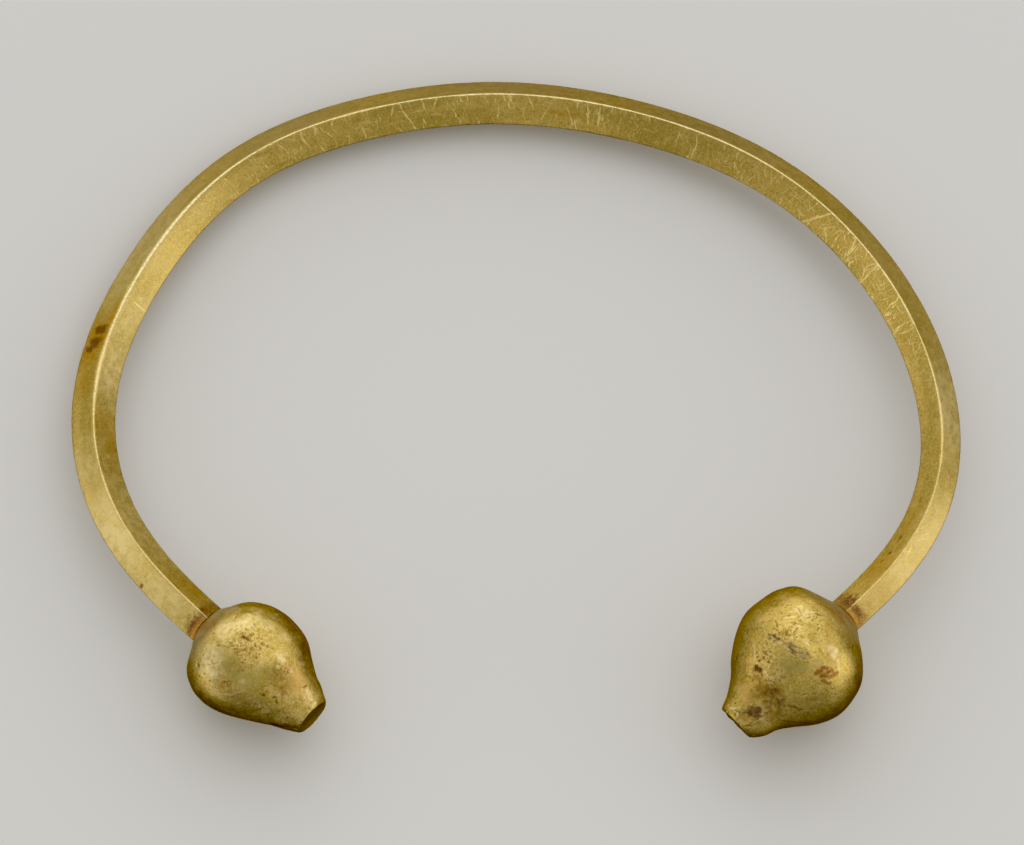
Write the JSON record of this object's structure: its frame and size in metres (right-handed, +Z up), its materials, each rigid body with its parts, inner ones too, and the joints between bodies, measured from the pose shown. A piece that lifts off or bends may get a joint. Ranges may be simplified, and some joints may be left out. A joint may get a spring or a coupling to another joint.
{
  "type": "torc",
  "caption": "Open gold neck ring of square bar set on edge, closed at each end by a hammered pear-shaped terminal.",
  "frame": {"origin": "on the ground, under the middle of the bounding box of the torc as it lies", "axes": "+X along the torc's width, from the smaller terminal to the larger one; +Z up from the ground; the opening faces -Y"},
  "size_m": [0.15, 0.118, 0.023],
  "materials": {
    "bar_gold": "worn satin gold with file marks and scratches",
    "left_gold": "hammered satin gold with pits",
    "right_gold": "hammered satin gold with pits and stains"
  },
  "bodies": {
    "root": {"hoop": "bar_gold", "terminal_left": "left_gold", "terminal_right": "right_gold"}
  },
  "joints": []
}
